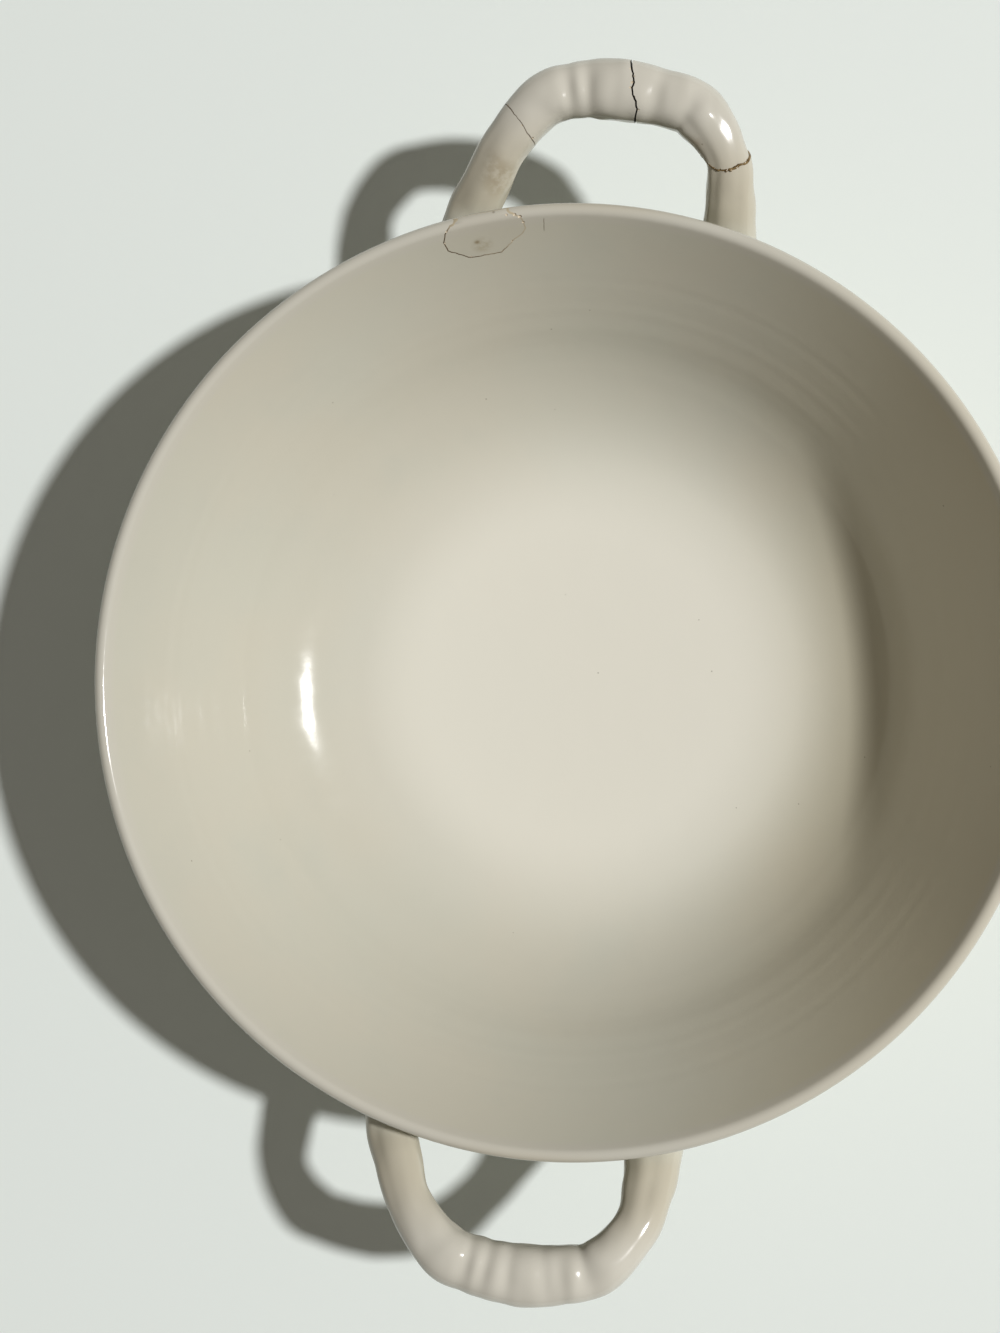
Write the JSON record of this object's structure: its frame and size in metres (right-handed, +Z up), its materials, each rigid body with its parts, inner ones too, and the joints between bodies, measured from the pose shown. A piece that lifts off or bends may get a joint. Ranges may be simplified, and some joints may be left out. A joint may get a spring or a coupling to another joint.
{
  "type": "mended two-handled bowl",
  "caption": "Wide shallow glazed stoneware bowl with two loop handles, one handle and a flake of the rim broken off and glued back.",
  "frame": {"origin": "on the table under the middle of the foot ring", "axes": "+Z up out of the bowl, +Y towards the mended handle, +X to its right when seen from the other handle"},
  "size_m": [0.282, 0.371, 0.08],
  "materials": {
    "glaze": "gloss",
    "glue": "gloss"
  },
  "bodies": {
    "root": {"bowl": "glaze", "handle_fragment_left": "glaze", "handle_fragment_right": "glaze", "rim_flake": "glaze", "glue_left": "glue", "glue_middle": "glue", "glue_right": "glue", "glue_flake": "glue"}
  },
  "joints": []
}
